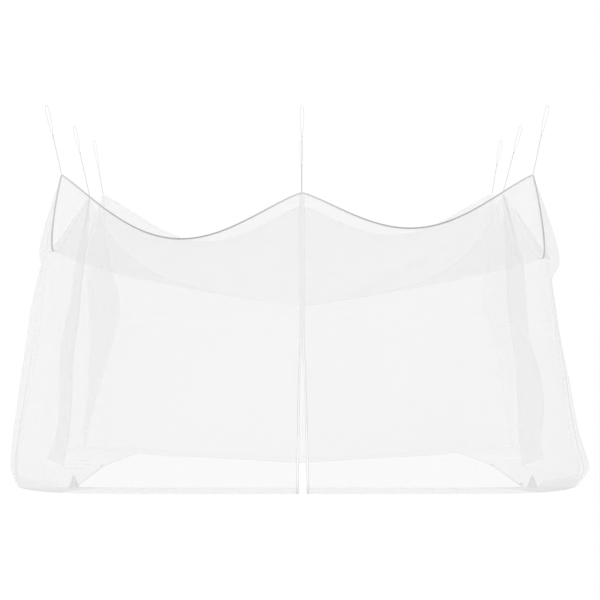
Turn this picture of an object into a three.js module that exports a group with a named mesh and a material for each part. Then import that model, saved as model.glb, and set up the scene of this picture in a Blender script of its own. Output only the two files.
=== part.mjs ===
// Box-shaped mosquito net for a gazebo, hung by eight cords, with a slit down the middle of its front.
// Millimetres. X runs across the front from left to right, Y from front to back, Z up from the floor.
import * as THREE from "three";

// Driving sizes
const NET_THICK = 1.2;
const BINDING = { wide: 10, thick: 1.6, end: 2.1 }; // end: from its end to the corner of the net
const SLIT_TAPE = { wide: 12, thick: 1.6 };
const SEAM_GAP = 1.5; // from the end of a wall to the line of its corner seam
const WALL_DROP = 8; // from the middle of the binding to the top edge of a wall
const ROOF_INSET = 4.9; // from the middle of the binding to the rim of the roof
const CORD = { radius: 1.5, sides: 8, clear: 6 };
const LOOP = { long: 175, half: 10 };
const KNOT = { inner: 2.1, wall: 3.4, half: 6, ring: 10, profile: 8 };
const SET = { x: -5.967, y: 32.655 }; // brings the middle of the net's outline to the origin

// How finely each piece is made
const BAY_COLUMNS = 12;
const ROOF_RINGS = [0.16, 0.34, 0.52, 0.68, 0.8, 0.89, 0.95, 1];
const WALL_FALLS = [0, 0.012, 0.04, 0.1, 0.2, 0.34, 0.48, 0.62, 0.75, 0.86, 0.95, 1];
const TUCK_SHARES = [0.3, 0.65, 1];

const LOOKS = {
  net: { color: 0xf4f4f2, roughness: 0.9 },
  tape: { color: 0x8f9191, roughness: 0.8 },
  cord: { color: 0xcfd0ce, roughness: 0.7 },
};

// Turns rows of numbers into rows with named columns.
function table(columns, rows) {
  return rows.map((row) => Object.fromEntries(columns.map((name, i) => [name, row[i]])));
}

// Reads one column of a table at a place between its rows, as a smooth curve.
function read(rows, column, at) {
  const last = rows.length - 1;
  let i = 0;
  while (i < last - 1 && rows[i + 1].at < at) i += 1;
  const slope = (j) => {
    const before = rows[Math.max(j - 1, 0)];
    const after = rows[Math.min(j + 1, last)];
    return (after[column] - before[column]) / (after.at - before.at);
  };
  const span = rows[i + 1].at - rows[i].at;
  const t = THREE.MathUtils.clamp((at - rows[i].at) / span, 0, 1);
  const rise = rows[i + 1][column] - rows[i][column];
  const bend = (1 - t) * slope(i) * span - t * slope(i + 1) * span + (2 * t - 1) * rise;
  return rows[i][column] + rise * t + t * (1 - t) * bend;
}

// Where the cords hold the top edge, and where their loops hang.
const HOLDS = {
  front_left: { at: [-1342, -1053, 1751], loop: [-1422, -1109, 2139] },
  front_middle: { at: [11, -1053, 1650], loop: [11, -1109, 2139] },
  front_right: { at: [1312, -1053, 1751], loop: [1388, -1109, 2139] },
  right_middle: { at: [1268, 0, 1712], loop: [1383, 0, 2133] },
  back_right: { at: [1319, 1053, 1770], loop: [1388, 1109, 2145] },
  back_middle: { at: [10, 1053, 1689], loop: [10, 1109, 2139] },
  back_left: { at: [-1353, 1053, 1762], loop: [-1422, 1109, 2145] },
  left_middle: { at: [-1314, 0, 1688], loop: [-1413, 0, 2133] },
};

// Plan of each upright line of the walls, from the top edge (0) to the floor (1).
const LINES = {
  front_left: table(["at", "x", "y"], [
    [0, -1342, -1053], [0.26, -1428, -1066], [0.4, -1448, -1075], [0.61, -1499, -1086],
    [0.82, -1566, -1100], [0.95, -1590, -1112], [1, -1575, -1120],
  ]),
  front_right: table(["at", "x", "y"], [
    [0, 1312, -1053], [0.26, 1385, -1066], [0.4, 1414, -1075], [0.63, 1470, -1086], [0.85, 1525, -1100],
    [0.95, 1564, -1112], [1, 1540, -1120],
  ]),
  back_left: table(["at", "x", "y"], [
    [0, -1353, 1053], [0.2, -1332, 1070], [0.41, -1253, 1120], [0.48, -1254, 1137], [0.57, -1304, 1165],
    [0.68, -1361, 1210], [0.82, -1439, 1277], [1, -1529, 1378],
  ]),
  back_right: table(["at", "x", "y"], [
    [0, 1319, 1053], [0.2, 1300, 1070], [0.41, 1267, 1120], [0.51, 1317, 1154], [0.61, 1370, 1187],
    [0.75, 1421, 1243], [1, 1502, 1378],
  ]),
  left_middle: table(["at", "x", "y"], [
    [0, -1314, 0], [0.12, -1322, 5], [0.3, -1359, 10], [0.45, -1384, 15], [0.6, -1416, 20],
    [0.75, -1428, 30], [0.9, -1453, 40], [1, -1487, 60],
  ]),
  right_middle: table(["at", "x", "y"], [
    [0, 1268, 0], [0.3, 1290, 5], [0.45, 1305, 15], [0.6, 1345, 20], [0.75, 1362, 30], [0.9, 1373, 40],
    [1, 1400, 60],
  ]),
  back_middle: table(["at", "x", "y"], [
    [0, 10, 1053], [0.3, 12, 1010], [0.6, 14, 900], [1, 14, 666],
  ]),
};

// The slit: its middle, half the distance between the middles of its two tapes, and its place from front to
// back.
const SLIT = table(["at", "x", "half", "y"], [
  [0, 11, 6.8, -1053], [0.05, 11, 6.8, -1075], [0.3, 11, 6.8, -1165], [0.5, 12, 7.5, -1243],
  [0.63, 12, 17, -1296], [0.9, 14, 26, -1415], [0.97, 15, 28, -1445], [1, 15, 28, -1439],
]);

// Where the hem's corners and middles lie on the floor.
const HEM = {
  front_left: [-1247, -1138],
  front_slit: [15, -1165],
  front_right: [1239, -1138],
  right_middle: [1209, 40],
  back_right: [1075, 950],
  back_middle: [10, 252],
  back_left: [-1105, 920],
  left_middle: [-1230, 10],
};

// A bay is the stretch of wall from one upright line to the next. sag is how far its top edge hangs below a
// straight line, skew moves the lowest point along it, and out is how far its middle stands out from one at
// each height. Just under the top edge the cloth swells out into a soft shoulder.
const BAYS = {
  front_left: {
    from: "front_left", to: "front_slit", side: [0, -1], sag: 313, skew: 0.92,
    out: table(["at", "out"], [[0, 60], [0.012, 82], [0.05, 100], [0.3, 80], [0.6, 45], [1, 0]]),
  },
  front_right: {
    from: "front_right", to: "front_slit", side: [0, -1], sag: 250, skew: 1,
    out: table(["at", "out"], [[0, 55], [0.012, 76], [0.05, 92], [0.3, 72], [0.6, 40], [1, 0]]),
  },
  left_front: {
    from: "front_left", to: "left_middle", side: [-1, 0], sag: 383, skew: 1,
    out: table(["at", "out"], [
      [0, 134], [0.012, 190], [0.04, 202], [0.1, 172], [0.2, 172], [0.34, 188], [0.48, 188], [0.73, 175],
      [0.95, 150], [1, 128],
    ]),
  },
  left_back: {
    from: "left_middle", to: "back_left", side: [-1, 0], sag: 433, skew: 1,
    out: table(["at", "out"], [
      [0, 87], [0.012, 125], [0.05, 135], [0.2, 151], [0.3, 180], [0.45, 222], [0.6, 181], [0.75, 146],
      [0.9, 131], [1, 149],
    ]),
  },
  right_front: {
    from: "front_right", to: "right_middle", side: [1, 0], sag: 437, skew: 1,
    out: table(["at", "out"], [
      [0, 149], [0.012, 220], [0.04, 235], [0.1, 180], [0.2, 158], [0.34, 160], [0.5, 170], [0.75, 182],
      [0.95, 209], [1, 165],
    ]),
  },
  right_back: {
    from: "right_middle", to: "back_right", side: [1, 0], sag: 449, skew: 1,
    out: table(["at", "out"], [
      [0, 132], [0.012, 166], [0.05, 172], [0.2, 181], [0.5, 222], [0.6, 225], [0.75, 215], [0.9, 172],
      [1, 155],
    ]),
  },
  back_left: {
    from: "back_left", to: "back_middle", side: [0, 1], sag: 280, skew: 1,
    out: table(["at", "out"], [[0, 55], [0.012, 76], [0.05, 92], [0.3, 60], [1, 10]]),
  },
  back_right: {
    from: "back_right", to: "back_middle", side: [0, 1], sag: 240, skew: 1,
    out: table(["at", "out"], [[0, 55], [0.012, 76], [0.05, 92], [0.3, 60], [1, 10]]),
  },
};

// The main folds of a wall: where along it each one falls, how wide it is, how far it stands out (or in,
// below zero), and how much of that shows at the top and at the floor. The front halves hang without folds.
const FOLD_START = 0.08; // how far down the wall its folds have come up to their full depth
const FOLDS = {
  left: table(["along", "wide", "deep", "top", "foot"], [
    [0.07, 0.022, -30, 0.3, 0.9], [0.17, 0.03, 8, 0.2, 0.8], [0.38, 0.026, -34, 0.5, 1],
    [0.45, 0.02, 30, 0.8, 0.7], [0.56, 0.022, -32, 0.8, 0.8], [0.68, 0.03, 26, 0.3, 1],
    [0.84, 0.028, -36, 0.4, 0.9], [0.93, 0.022, 30, 0.9, 0.4],
  ]),
  right: table(["along", "wide", "deep", "top", "foot"], [
    [0.09, 0.024, -26, 0.3, 0.9], [0.2, 0.028, 8, 0.2, 0.9], [0.35, 0.024, -30, 0.5, 1],
    [0.44, 0.022, 34, 0.8, 0.6], [0.55, 0.02, -30, 0.9, 0.8], [0.66, 0.026, 30, 0.4, 0.9],
    [0.79, 0.03, -32, 0.3, 1], [0.92, 0.024, 34, 0.9, 0.5],
  ]),
  back: table(["along", "wide", "deep", "top", "foot"], [
    [0.06, 0.024, 30, 0.9, 0.5], [0.2, 0.04, -26, 0.2, 1], [0.44, 0.03, 24, 0.9, 0.6],
    [0.56, 0.03, 22, 0.9, 0.8], [0.79, 0.04, -28, 0.2, 1], [0.94, 0.024, 30, 0.9, 0.5],
  ]),
};

// The roof: the middle of its belly, how far the belly climbs towards the rim, how softly it is rounded in
// the middle, and how sharply it turns up at the rim.
const ROOF = { x: 2, y: 0, z: 1006, climb: 245, soft: 0.1, turn: 6 };
const SAG_TURN = 1.2; // above 1, the top edge runs straighter beside its cords and turns in the middle
const FRONT_ROUND = 10; // how tightly the front turns the corner
const FLOOR = NET_THICK / 2;

// Plan of an upright line of the walls, or of the middle of the slit, at a height.
function linePlan(name, fall) {
  const rows = name === "front_slit" ? SLIT : LINES[name];
  return [read(rows, "x", fall), read(rows, "y", fall)];
}

// From the middle of the slit to the edge of the cloth beside it, where its tape begins.
function slitEdge(fall) {
  return read(SLIT, "half", fall) + SLIT_TAPE.wide / 2 + SEAM_GAP / 2;
}

// How much of its bay a wall covers: a front half stops short of the middle of the slit.
function covered(bay, fall) {
  if (bay.to !== "front_slit") return 1;
  const [corner] = linePlan(bay.from, fall);
  const [middle] = linePlan(bay.to, fall);
  return 1 - slitEdge(fall) / Math.abs(middle - corner);
}

function holdHeight(name) {
  return HOLDS[name === "front_slit" ? "front_middle" : name].at[2];
}

// How far the plan has turned from one line towards the next: the front rounds its corner tightly, the back
// swings in gently, and the sides run straight.
function turned(bay, share) {
  if (bay.to === "front_slit") return 1 - (1 - share) ** FRONT_ROUND;
  if (bay.to === "back_middle") return Math.sin((Math.PI / 2) * share) ** 2;
  return share;
}

// A point of a bay: share runs from its first line to its second, fall from the top edge to the floor.
function bayPoint(bay, share, fall) {
  const [x0, y0] = linePlan(bay.from, fall);
  const [x1, y1] = linePlan(bay.to, fall);
  const across = bay.side[0] === 0 ? share : turned(bay, share);
  const back = bay.side[0] === 0 ? turned(bay, share) : share;
  const out = read(bay.out, "out", fall) * Math.sin(Math.PI * share);
  const straight = THREE.MathUtils.lerp(holdHeight(bay.from), holdHeight(bay.to), share);
  const top = straight - bay.sag * Math.abs(Math.sin(Math.PI * share ** bay.skew)) ** SAG_TURN;
  return new THREE.Vector3(
    THREE.MathUtils.lerp(x0, x1, across) + bay.side[0] * out,
    THREE.MathUtils.lerp(y0, y1, back) + bay.side[1] * out,
    THREE.MathUtils.lerp(top, FLOOR, fall),
  );
}

// The bays of each wall, side by side; each is walked forwards, or backwards where reverse is true.
const WALLS = {
  left: [{ bay: BAYS.left_front }, { bay: BAYS.left_back }],
  right: [{ bay: BAYS.right_front }, { bay: BAYS.right_back }],
  back: [{ bay: BAYS.back_left }, { bay: BAYS.back_right, reverse: true }],
  front_left: [{ bay: BAYS.front_left }],
  front_right: [{ bay: BAYS.front_right, reverse: true }],
};

// The bay, and the place in it, that lies a share of the way along a strip of bays.
function onWall(strips, along) {
  const place = along * strips.length;
  const which = Math.min(Math.floor(place), strips.length - 1);
  const strip = strips[which];
  const share = place - which;
  return { bay: strip.bay, share: strip.reverse ? 1 - share : share };
}

// A point of a wall, folds and all.
function wallPoint(name, along, fall) {
  const { bay, share } = onWall(WALLS[name], along);
  const point = bayPoint(bay, share * covered(bay, fall), fall);
  for (const fold of FOLDS[name] ?? []) {
    const strength = THREE.MathUtils.lerp(fold.top, fold.foot, fall) * Math.min(1, fall / FOLD_START);
    const depth = fold.deep * strength * Math.exp(-(((along - fold.along) / fold.wide) ** 2));
    point.x += bay.side[0] * depth;
    point.y += bay.side[1] * depth;
  }
  return point;
}

// The hem of the back wall swings forward between its corners and its middle.
const BACK_HEM = table(["at", "y"], [[0, 1], [0.19, 0.7], [0.4, 0.58], [0.7, 0.29], [1, 0]]);

function hemPoint(name, along) {
  const { bay, share } = onWall(WALLS[name], along);
  const [x0, y0] = HEM[bay.from];
  const [x1, y1] = HEM[bay.to];
  const across = share * covered(bay, 1);
  const forward = bay.to === "back_middle" ? 1 - read(BACK_HEM, "y", share) : turned(bay, share);
  return new THREE.Vector3(
    THREE.MathUtils.lerp(x0, x1, across), THREE.MathUtils.lerp(y0, y1, forward), FLOOR,
  );
}

// Ripples in the cloth that lies on the floor inside the foot of a wall.
const RIPPLE = { high: 14, waves: 9 };

function tuckPoint(name, along, share) {
  const point = wallPoint(name, along, 1).lerp(hemPoint(name, along), share);
  const wave = Math.sin(Math.PI * RIPPLE.waves * along) ** 2 * Math.sin(Math.PI * share);
  point.z += RIPPLE.high * wave * Math.sin(Math.PI * along);
  return point;
}

// The direction across a line of points that runs along the top edge, in the face of the wall. It is
// upright at the ends, and mitred lengthens it at a peak, so that a line offset by it stays parallel.
function upwards(points, side, mitred) {
  const out = new THREE.Vector3(...side, 0);
  const last = points.length - 1;
  const spans = points.slice(1).map((point, i) => {
    const up = new THREE.Vector3().subVectors(point, points[i]).cross(out).normalize();
    return up.multiplyScalar(Math.sign(up.z));
  });
  return points.map((_, i) => {
    const [before, after] = [spans[Math.max(i - 1, 0)], spans[Math.min(i, last - 1)]];
    if (i === 0 || i === last) return new THREE.Vector3(0, 0, mitred ? 1 / before.z : 1);
    const sum = new THREE.Vector3().addVectors(before, after);
    return mitred ? sum.divideScalar(1 + before.dot(after)) : sum.normalize();
  });
}

// Even steps from one end to the other, short of each end by an inset.
function shares(count, inset) {
  return Array.from({ length: count + 1 }, (_, i) => THREE.MathUtils.lerp(inset, 1 - inset, i / count));
}

// Middle surface of a wall as rows of points from its top edge down to the floor and in to its hem.
function wallRows(name) {
  const inset = SEAM_GAP / wallPoint(name, 0, 0.5).distanceTo(wallPoint(name, 1, 0.5));
  const alongs = shares(BAY_COLUMNS * WALLS[name].length, inset);
  const rows = WALL_FALLS.map((fall) => alongs.map((along) => wallPoint(name, along, fall)));
  const ups = upwards(rows[0], WALLS[name][0].bay.side, true);
  rows[0].forEach((point, i) => point.addScaledVector(ups[i], -WALL_DROP));
  for (const share of TUCK_SHARES) rows.push(alongs.map((along) => tuckPoint(name, along, share)));
  return rows;
}

// Closes a grid of points into a thin sheet, half its thickness to either side.
function sheetGeometry(rows, thick) {
  const high = rows.length;
  const wide = rows[0].length;
  const point = (j, i) => rows[THREE.MathUtils.clamp(j, 0, high - 1)][THREE.MathUtils.clamp(i, 0, wide - 1)];
  const normals = rows.map((row, j) => row.map((_, i) => {
    const across = new THREE.Vector3().subVectors(point(j, i + 1), point(j, i - 1));
    const down = new THREE.Vector3().subVectors(point(j + 1, i), point(j - 1, i));
    return across.cross(down).normalize();
  }));
  const places = [];
  for (const side of [0.5, -0.5]) {
    rows.forEach((row, j) => row.forEach((p, i) => {
      places.push(...p.clone().addScaledVector(normals[j][i], side * thick).toArray());
    }));
  }
  const index = [];
  const quad = (a, b, c, d) => index.push(a, b, c, a, c, d);
  const front = (j, i) => j * wide + i;
  const rear = (j, i) => high * wide + front(j, i);
  for (let j = 0; j < high - 1; j += 1) {
    for (let i = 0; i < wide - 1; i += 1) {
      quad(front(j, i), front(j, i + 1), front(j + 1, i + 1), front(j + 1, i));
      quad(rear(j, i), rear(j + 1, i), rear(j + 1, i + 1), rear(j, i + 1));
    }
    quad(front(j, 0), front(j + 1, 0), rear(j + 1, 0), rear(j, 0));
    quad(front(j, wide - 1), rear(j, wide - 1), rear(j + 1, wide - 1), front(j + 1, wide - 1));
  }
  for (let i = 0; i < wide - 1; i += 1) {
    quad(front(0, i), rear(0, i), rear(0, i + 1), front(0, i + 1));
    quad(front(high - 1, i), front(high - 1, i + 1), rear(high - 1, i + 1), rear(high - 1, i));
  }
  return indexedGeometry(places, index);
}

function indexedGeometry(places, index) {
  const geometry = new THREE.BufferGeometry();
  geometry.setAttribute("position", new THREE.Float32BufferAttribute(places, 3));
  geometry.setIndex(index);
  geometry.computeVertexNormals();
  return geometry;
}

// The top edge, bay by bay, once round the net from the front left corner.
const TOP_ROUND = [
  { bay: BAYS.front_left }, { bay: BAYS.front_right, reverse: true }, { bay: BAYS.right_front },
  { bay: BAYS.right_back }, { bay: BAYS.back_right }, { bay: BAYS.back_left, reverse: true },
  { bay: BAYS.left_back, reverse: true }, { bay: BAYS.left_front, reverse: true },
];

// A point of the top edge of a strip of bays.
function edgePoint(strips, along) {
  const { bay, share } = onWall(strips, along);
  return bayPoint(bay, share, 0);
}

// The roof: rings of points from the middle of its belly out to the rim just inside the binding.
function roofGeometry() {
  const centre = new THREE.Vector3(ROOF.x, ROOF.y, ROOF.z);
  const count = BAY_COLUMNS * TOP_ROUND.length;
  const rim = Array.from({ length: count }, (_, i) => edgePoint(TOP_ROUND, i / count));
  const rings = ROOF_RINGS.map((ring) => rim.map((edge) => {
    const flat = new THREE.Vector3(edge.x - centre.x, edge.y - centre.y, 0);
    const inner = flat.setLength((flat.length() - ROOF_INSET) * ring);
    const slope = (ring ** 2 * (1 + ROOF.soft)) / (ring + ROOF.soft);
    const lift = ROOF.climb * slope + (edge.z - centre.z - ROOF.climb) * ring ** ROOF.turn;
    return new THREE.Vector3(centre.x + inner.x, centre.y + inner.y, centre.z + lift);
  }));
  return domeGeometry(centre, rings, NET_THICK);
}

// Closes rings of points round a centre into a thin sheet.
function domeGeometry(centre, rings, thick) {
  const wide = rings[0].length;
  const high = rings.length;
  const point = (j, i) => (j < 0 ? centre : rings[Math.min(j, high - 1)][(i + wide) % wide]);
  const places = [];
  for (const side of [0.5, -0.5]) {
    rings.forEach((ring, j) => ring.forEach((p, i) => {
      const round = new THREE.Vector3().subVectors(point(j, i + 1), point(j, i - 1));
      const out = new THREE.Vector3().subVectors(point(j + 1, i), point(j - 1, i));
      const normal = out.cross(round).normalize();
      places.push(...p.clone().addScaledVector(normal, side * thick).toArray());
    }));
    places.push(centre.x, centre.y, centre.z + side * thick);
  }
  const index = [];
  const quad = (a, b, c, d) => index.push(a, b, c, a, c, d);
  const upper = (j, i) => j * wide + ((i + wide) % wide);
  const lower = (j, i) => high * wide + 1 + upper(j, i);
  for (let i = 0; i < wide; i += 1) {
    index.push(high * wide, upper(0, i), upper(0, i + 1));
    index.push(2 * high * wide + 1, lower(0, i + 1), lower(0, i));
    for (let j = 0; j < high - 1; j += 1) {
      quad(upper(j, i), upper(j + 1, i), upper(j + 1, i + 1), upper(j, i + 1));
      quad(lower(j, i), lower(j, i + 1), lower(j + 1, i + 1), lower(j + 1, i));
    }
    quad(upper(high - 1, i), lower(high - 1, i), lower(high - 1, i + 1), upper(high - 1, i + 1));
  }
  return indexedGeometry(places, index);
}

// A flat tape along a line of points: its width lies along widths[i], its thickness across it.
function tapeGeometry(points, widths, wide, thick) {
  const rows = [-0.5, 0.5].map((side) => (
    points.map((p, i) => p.clone().addScaledVector(widths[i], side * wide))
  ));
  return sheetGeometry(rows, thick);
}

// The binding over the top seam of one side of the net.
function bindingGeometry(strips) {
  const inset = BINDING.end / edgePoint(strips, 0).distanceTo(edgePoint(strips, 1));
  const alongs = shares(BAY_COLUMNS * strips.length, inset);
  const points = alongs.map((along) => edgePoint(strips, along));
  return tapeGeometry(points, upwards(points, strips[0].bay.side, false), BINDING.wide, BINDING.thick);
}

// The tape down the free edge of one front half, and on in to the hem.
function slitTapeGeometry(name, hand) {
  const points = wallRows(name).map((row) => row[hand < 0 ? row.length - 1 : 0].clone());
  points.forEach((point) => {
    point.x -= hand * (SLIT_TAPE.wide / 2 + SEAM_GAP / 2);
    point.z = Math.max(point.z, SLIT_TAPE.thick / 2);
  });
  return tapeGeometry(points, points.map(() => new THREE.Vector3(1, 0, 0)), SLIT_TAPE.wide, SLIT_TAPE.thick);
}

// A cord's route, with one step of its tube from each point to the next.
class Route extends THREE.CatmullRomCurve3 {
  getUtoTmapping(u) {
    return u;
  }
}

// Share of the loop's length and of its half width at each point of a cord, from its knot up and back down.
const LOOP_WALK = table(["up", "out"], [
  [0, 0], [0.3, 0.75], [0.68, 1], [0.92, 0.75], [1, 0], [0.92, -0.75], [0.68, -1], [0.3, -0.75],
  [0.055, -0.38],
]);

function cordFrame(hold) {
  const start = new THREE.Vector3(...hold.at);
  const top = new THREE.Vector3(...hold.loop);
  const up = new THREE.Vector3().subVectors(top, start).normalize();
  const knot = top.clone().addScaledVector(up, -LOOP.long);
  const across = new THREE.Vector3(1, 0, 0).addScaledVector(up, -up.x).normalize();
  return { exit: start.addScaledVector(up, CORD.clear), up, knot, across };
}

// The points that a cord follows: from the binding up to its knot, round its loop, and back to the knot.
function cordPoints(hold) {
  const { exit, up, knot, across } = cordFrame(hold);
  const stem = [exit, exit.clone().lerp(knot, 0.5)];
  const loop = LOOP_WALK.map((step) => knot.clone()
    .addScaledVector(up, step.up * LOOP.long)
    .addScaledVector(across, step.out * LOOP.half));
  return [...stem, ...loop];
}

function cordGeometry(hold) {
  const points = cordPoints(hold);
  const rim = Array.from({ length: CORD.sides }, (_, i) => {
    const angle = (2 * Math.PI * i) / CORD.sides;
    return new THREE.Vector2(CORD.radius * Math.cos(angle), CORD.radius * Math.sin(angle));
  });
  return new THREE.ExtrudeGeometry(new THREE.Shape(rim), {
    steps: points.length - 1, extrudePath: new Route(points), bevelEnabled: false,
  });
}

// A knot, as a collar round the cord where its loop begins.
function knotMesh(hold) {
  const { up, knot } = cordFrame(hold);
  const profile = Array.from({ length: KNOT.profile + 1 }, (_, i) => {
    const angle = (2 * Math.PI * (i % KNOT.profile)) / KNOT.profile;
    const middle = KNOT.inner + KNOT.wall / 2;
    return new THREE.Vector2(middle + (KNOT.wall / 2) * Math.cos(angle), KNOT.half * Math.sin(angle));
  });
  const mesh = new THREE.Mesh(new THREE.LatheGeometry(profile, KNOT.ring));
  mesh.position.copy(knot);
  mesh.quaternion.setFromUnitVectors(new THREE.Vector3(0, 1, 0), up);
  return mesh;
}

const net = new THREE.Group();

function add(name, mesh, look) {
  mesh.name = name;
  mesh.material = new THREE.MeshStandardMaterial({ ...look, metalness: 0 });
  net.add(mesh);
}

add("roof", new THREE.Mesh(roofGeometry()), LOOKS.net);
for (const name of Object.keys(WALLS)) {
  add(`wall_${name}`, new THREE.Mesh(sheetGeometry(wallRows(name), NET_THICK)), LOOKS.net);
}
for (const name of ["left", "right", "back"]) {
  add(`binding_${name}`, new THREE.Mesh(bindingGeometry(WALLS[name])), LOOKS.tape);
}
const front = [...WALLS.front_left, ...WALLS.front_right];
add("binding_front", new THREE.Mesh(bindingGeometry(front)), LOOKS.tape);
add("slit_tape_left", new THREE.Mesh(slitTapeGeometry("front_left", -1)), LOOKS.tape);
add("slit_tape_right", new THREE.Mesh(slitTapeGeometry("front_right", 1)), LOOKS.tape);
for (const [name, hold] of Object.entries(HOLDS)) {
  add(`cord_${name}`, new THREE.Mesh(cordGeometry(hold)), LOOKS.cord);
  add(`knot_${name}`, knotMesh(hold), LOOKS.cord);
}
net.position.set(SET.x, SET.y, 0);

export default net;
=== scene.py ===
from functools import lru_cache, partial
from math import exp, pi, radians, sin, tau
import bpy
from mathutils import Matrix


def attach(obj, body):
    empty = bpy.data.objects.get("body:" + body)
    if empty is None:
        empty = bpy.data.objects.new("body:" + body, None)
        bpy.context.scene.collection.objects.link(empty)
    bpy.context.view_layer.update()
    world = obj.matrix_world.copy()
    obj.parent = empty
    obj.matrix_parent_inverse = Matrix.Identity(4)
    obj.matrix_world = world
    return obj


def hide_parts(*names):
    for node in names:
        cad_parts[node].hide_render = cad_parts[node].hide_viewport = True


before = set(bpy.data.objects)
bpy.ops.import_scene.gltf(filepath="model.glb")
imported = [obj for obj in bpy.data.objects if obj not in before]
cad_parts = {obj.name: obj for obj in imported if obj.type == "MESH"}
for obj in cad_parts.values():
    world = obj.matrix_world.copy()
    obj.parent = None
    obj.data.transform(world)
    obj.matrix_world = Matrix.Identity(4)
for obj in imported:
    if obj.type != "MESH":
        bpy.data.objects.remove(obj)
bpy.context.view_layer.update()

from types import SimpleNamespace as Numbers

import bpy
import numpy as np
from bpy.props import FloatProperty, FloatVectorProperty, PointerProperty

bl_info = {
    "name": "Gazebo mosquito net",
    "version": (1, 0, 0),
    "blender": (4, 5, 0),
    "location": "View3D > Sidebar > Net",
    "description": "Sheer net with its binding, slit tapes and hanging cords, built round the packed model",
    "category": "Object",
}

# All lengths are in metres. X runs across the front from left to right, Y from front to back, Z up.
# The shape tables are set from the middle of the gazebo, and SET brings the net's outline to the origin.
SET = np.array([-0.005967, 0.032655, 0.0])
FLOOR = 0.0006


def table(columns, rows):
    """Rows of numbers as rows with named columns."""
    return [Numbers(**dict(zip(columns.split(), row))) for row in rows]


def curves(columns, rows):
    """Rows of numbers as named columns, for read."""
    return dict(zip(columns.split(), zip(*rows)))


def by_name(make, columns, groups):
    """Tables with the same columns, by name."""
    return {name: make(columns, rows) for name, rows in groups.items()}


def read(curve, column, at):
    """One column of a table at a place between its rows, as a smooth curve."""
    places, values = curve["at"], curve[column]
    last = len(places) - 1
    i = sum(place < at for place in places[1:-1])

    def slope(j):
        before, after = max(j - 1, 0), min(j + 1, last)
        return (values[after] - values[before]) / (places[after] - places[before])

    span, rise = places[i + 1] - places[i], values[i + 1] - values[i]
    t = min(max((at - places[i]) / span, 0.0), 1.0)
    bend = (1 - t) * slope(i) * span - t * slope(i + 1) * span + (2 * t - 1) * rise
    return values[i] + rise * t + t * (1 - t) * bend


def lerp(a, b, share):
    return a + (b - a) * share


def arch(share):
    """Rises from nothing at 0 to 1 in the middle, and falls back to nothing at 1."""
    return sin(pi * share)


def risen(value, start, end):
    """Rises softly from 0 at the start to 1 at the end."""
    t = min(max((value - start) / (end - start), 0.0), 1.0)
    return t * t * (3 - 2 * t)


# Where each cord leaves the binding, and the top of its loop
HOLDS = {name: Numbers(at=at, loop=loop) for name, at, loop in (
    ("front_left", (-1.342, -1.053, 1.751), (-1.422, -1.109, 2.139)),
    ("front_middle", (0.011, -1.053, 1.65), (0.011, -1.109, 2.139)),
    ("front_right", (1.312, -1.053, 1.751), (1.388, -1.109, 2.139)),
    ("right_middle", (1.268, 0.0, 1.712), (1.383, 0.0, 2.133)),
    ("back_right", (1.319, 1.053, 1.77), (1.388, 1.109, 2.145)),
    ("back_middle", (0.01, 1.053, 1.689), (0.01, 1.109, 2.139)),
    ("back_left", (-1.353, 1.053, 1.762), (-1.422, 1.109, 2.145)),
    ("left_middle", (-1.314, 0.0, 1.688), (-1.413, 0.0, 2.133)),
)}
# The upright lines of the walls in plan, each from its hold: 0 is the top edge and 1 the floor
LINES = {name: curves("at x y", ((0, *HOLDS[name].at[:2]), *rows)) for name, rows in {
    "front_left": (
        (0.26, -1.428, -1.066), (0.4, -1.448, -1.075), (0.61, -1.499, -1.086), (0.82, -1.566, -1.1),
        (0.95, -1.59, -1.112), (1, -1.575, -1.12),
    ),
    "front_right": (
        (0.26, 1.385, -1.066), (0.4, 1.414, -1.075), (0.63, 1.47, -1.086), (0.85, 1.525, -1.1),
        (0.95, 1.564, -1.112), (1, 1.54, -1.12),
    ),
    "back_left": (
        (0.2, -1.332, 1.07), (0.41, -1.253, 1.12), (0.48, -1.254, 1.137), (0.57, -1.304, 1.165),
        (0.68, -1.361, 1.21), (0.82, -1.439, 1.277), (1, -1.529, 1.378),
    ),
    "back_right": (
        (0.2, 1.3, 1.07), (0.41, 1.267, 1.12), (0.51, 1.317, 1.154), (0.61, 1.37, 1.187),
        (0.75, 1.421, 1.243), (1, 1.502, 1.378),
    ),
    "left_middle": (
        (0.12, -1.322, 0.005), (0.3, -1.359, 0.01), (0.45, -1.384, 0.015), (0.6, -1.416, 0.02),
        (0.75, -1.428, 0.03), (0.9, -1.453, 0.04), (1, -1.487, 0.06),
    ),
    "right_middle": (
        (0.3, 1.29, 0.005), (0.45, 1.305, 0.015), (0.6, 1.345, 0.02), (0.75, 1.362, 0.03),
        (0.9, 1.373, 0.04), (1, 1.4, 0.06),
    ),
    "back_middle": (
        (0.3, 0.012, 1.01), (0.6, 0.014, 0.9), (1, 0.014, 0.666),
    ),
}.items()}
# The middle of the slit in plan, and half the distance between the middles of its tapes
SLIT = curves("at x half y", (
    (0, 0.011, 0.0068, -1.053), (0.05, 0.011, 0.0068, -1.075), (0.3, 0.011, 0.0068, -1.165),
    (0.5, 0.012, 0.0075, -1.243), (0.63, 0.012, 0.017, -1.296), (0.9, 0.014, 0.026, -1.415),
    (0.97, 0.015, 0.028, -1.445), (1, 0.015, 0.028, -1.439),
))
# The hem on the floor, in plan, at the same lines
HEM_LINE = {
    "front_left": (-1.247, -1.138),
    "front_slit": (0.015, -1.165),
    "front_right": (1.239, -1.138),
    "right_middle": (1.209, 0.04),
    "back_right": (1.075, 0.95),
    "back_middle": (0.01, 0.252),
    "back_left": (-1.105, 0.92),
    "left_middle": (-1.23, 0.01),
}


def bay(first, second, side, sag, skew, *out):
    """A bay between two lines: the way it faces, how far its top edge sags, where that sag is deepest, and
    how far its middle stands out at each height."""
    return Numbers(first=first, second=second, side=side, sag=sag, skew=skew, out=curves("at out", out))


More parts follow.
